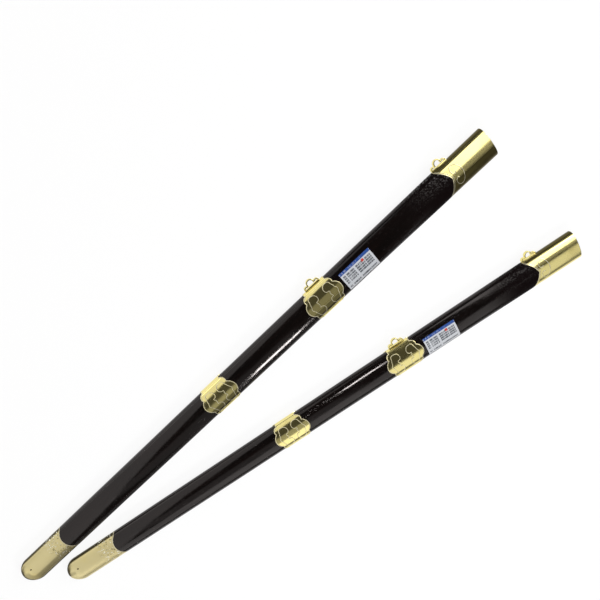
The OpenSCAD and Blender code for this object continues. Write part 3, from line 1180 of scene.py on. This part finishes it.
def makeLabel():
    clearSelection()
    bpy.ops.mesh.primitive_grid_add(x_subdivisions=paper["rows"], y_subdivisions=paper["columns"], size=2)
    piece = named("label")
    points = getPoints(piece)
    u, v = (points[:, 0] + 1) / 2, (points[:, 1] + 1) / 2
    x = labelFrom + (labelTo - labelFrom) * u
    yLow, yHigh = labelLow.y - stickY, labelHigh.y - stickY
    y = yLow + (yHigh - yLow) * v
    beyond = np.hypot(2 * u - 1, 2 * v - 1) - paper["cornerFrom"]
    out = paper["lift"] + paper["cornerLift"] * (np.clip(beyond, 0, 1) / paper["cornerOver"]) ** 2
    a, b = halfWidth(x) + out, halfThick(x) + out
    z = midHeight(x) + b * (1 - np.abs(y / a) ** stick["oval"]) ** (1 / stick["oval"])
    setPoints(piece, columns(x, y, z))
    wall = piece.modifiers.new("wall", "SOLIDIFY")
    wall.thickness, wall.offset = paper["thick"], 1
    bpy.ops.object.modifier_apply(modifier="wall")
    return piece


fitBoth(makeLabel(), "paper", "label", ["paper"])
print("labels made")


# Camera, floor and light

camera = {
    # from the foot of the first stick's mouth
    "place": (-291.1 * mm, 273.8 * mm, 681.3 * mm),
    "aim": (-306.8 * mm, 14.1 * mm, 0),
    "roll": 139.86,  # degrees from level
    "lens": 34.44,
    "sensor": 36,
    "near": 10 * mm,
}


def makeCamera():
    clearSelection()
    mouth = Vector((throatHigh.x, stickY, 0))
    bpy.ops.object.camera_add(location=mouth + Vector(camera["place"]))
    view = named("view")
    back = (Vector(camera["place"]) - Vector(camera["aim"])).normalized()
    levelRight = Vector((0, 0, 1)).cross(back).normalized()
    levelUp = back.cross(levelRight)
    roll = math.radians(camera["roll"])
    right = math.cos(roll) * levelRight + math.sin(roll) * levelUp
    up = back.cross(right)
    view.rotation_euler = Matrix((right, up, back)).transposed().to_euler()
    view.data.lens = camera["lens"]
    view.data.sensor_width = camera["sensor"]
    view.data.clip_start = camera["near"]
    bpy.context.scene.camera = view


makeCamera()

stage = {
    "white": (0.90, 0.90, 0.90, 1),
    "glow": (1, 1, 1, 1),
    "shown": 0.88,  # share of plain white in what the camera and polished metal see
    "sides": 96,
    "radius": 6.0,
    "wall": 3.2,
    "fade": (0.25, 1.0),  # heights between which the wall gets dimmer
    "dimmed": 0.10,  # what is left of the white at the top
}


def stageWhite():
    f = newFinish("stageWhite")
    seen = f.node("ShaderNodeLightPath", out="Is Camera Ray")
    for name in ("Is Glossy Ray", "Is Transmission Ray"):
        seen = seen.math("MAXIMUM", seen, f.node("ShaderNodeLightPath", out=name))
    height = f.parts(f.node("ShaderNodeTexCoord", out="Object"))[2]
    shown = stage["shown"] * (1 - f.smooth(height, *stage["fade"]) * (1 - stage["dimmed"]))
    matt = f.node("ShaderNodeBsdfDiffuse", {}, {"Color": stage["white"]})
    glow = f.node("ShaderNodeEmission", {}, {"Color": stage["glow"], "Strength": 1.0})
    return f.surface(f.node("ShaderNodeMixShader", {}, {0: seen * shown, 1: matt, 2: glow}))


def makeStage():
    # a round room without its lid
    clearSelection()
    bpy.ops.mesh.primitive_cylinder_add(vertices=stage["sides"], radius=stage["radius"],
                                        depth=stage["wall"], location=(0, 0, stage["wall"] / 2),
                                        end_fill_type="NGON")
    room = named("floorAndWall")
    bpy.ops.object.transform_apply(location=True, rotation=True, scale=True)
    setMode("EDIT")
    bpy.ops.mesh.select_all(action="DESELECT")
    setMode("OBJECT")
    for face in room.data.polygons:
        face.select = face.normal.z > 0.5
    setMode("EDIT")
    bpy.ops.mesh.delete(type="FACE")
    bpy.ops.mesh.select_all(action="SELECT")
    bpy.ops.mesh.flip_normals()
    setMode("OBJECT")
    room.data.materials.append(stageWhite())


makeStage()

lamps = {
    # name: place, aim, size, radiance, turn in its own plane, and how the names of what it lights begin
    "leftPanel": ((-1.266, 1.14, 1.5), (-1.266, 1.14, 0), (3.8, 2.4), 0.80, 53.1, ""),
    "backPanel": ((-1.35, 2.5, 0.9), (-1.35, 0, 0.9), (3.3, 1.6), 0.70, 0, ""),
    "throatPanel": ((1.13, 0.455, 1.5), (1.13, 0.455, 0), (0.72, 1.61), 2.0, 0, ""),
    "throatEdge": ((1.13, -0.53, 1.5), (1.13, -0.53, 0), (0.72, 0.36), 0.20, 0, ""),
    "farPanel": ((1.0, -1.90, 1.5), (1.0, -1.90, 0), (0.50, 1.9), 0.70, 0, ""),
    "lowFill": ((-0.5, -1.4, 1.2), (-0.5, -1.4, 0), (0.9, 2.0), 0.27, 0, ""),
    "mouthLamp": ((1.75, 0.2, 1.25), (0, 0, 0), (1.0, 1.0), 7.0, 0, ""),
    "tipLamp": ((-2.2, -0.7, 1.1), (0, 0, 0), (1.6, 1.2), 0.8, 0, ""),
    "rightLamp": ((-0.13, -0.79, 0.88), (0.02, 0.08, 0), (0.22, 0.20), 32.0, 0, "first_front_slat"),
    "bandFill": ((0.11, -0.62, 1.5), (0.11, -0.62, 0), (0.4, 0.6), 0.15, 0, "first_upper_band"),
    "secondFar": ((-0.775, -1.90, 1.5), (-0.775, -1.90, 0), (3.05, 1.8), 0.90, 0, "second"),
    "secondStreak": ((0.165, 0.03, 1.5), (0.165, 0.03, 0), (0.17, 0.18), 30.0, 0, "second_front_slat"),
}


def litGroup(start):
    # the floor and the pieces whose names begin with start
    group = bpy.data.collections.new(start + "Lit")
    for piece in bpy.data.objects:
        if piece.type == "MESH" and piece.name.startswith((start, "floor")):
            group.objects.link(piece)
    return group


def makeLamps():
    for name, (place, aim, size, radiance, turn, lights) in lamps.items():
        clearSelection()
        bpy.ops.object.light_add(type="AREA", location=place)
        lamp = named(name)
        lamp.data.shape = "RECTANGLE"
        lamp.data.size, lamp.data.size_y = size
        lamp.data.energy = radiance * math.pi * size[0] * size[1]
        away = Vector(aim) - Vector(place)
        lamp.rotation_euler = (away.to_track_quat("-Z", "Y").to_matrix().to_4x4()
                               @ Matrix.Rotation(math.radians(turn), 4, "Z")).to_euler()
        lamp.visible_camera = False
        if lights:
            lamp.light_linking.receiver_collection = litGroup(lights)


makeLamps()

dimRoom = {"Color": (1.0, 0.99, 0.94, 1), "Strength": 0.06}


def makeWorld():
    world = bpy.data.worlds.new("dimRoom")
    f = Finish(world)
    f.surface(f.node("ShaderNodeBackground", {}, dimRoom))
    bpy.context.scene.world = world


makeWorld()
bpy.context.scene.view_settings.view_transform = "Standard"
print("camera, stage and lamps made")
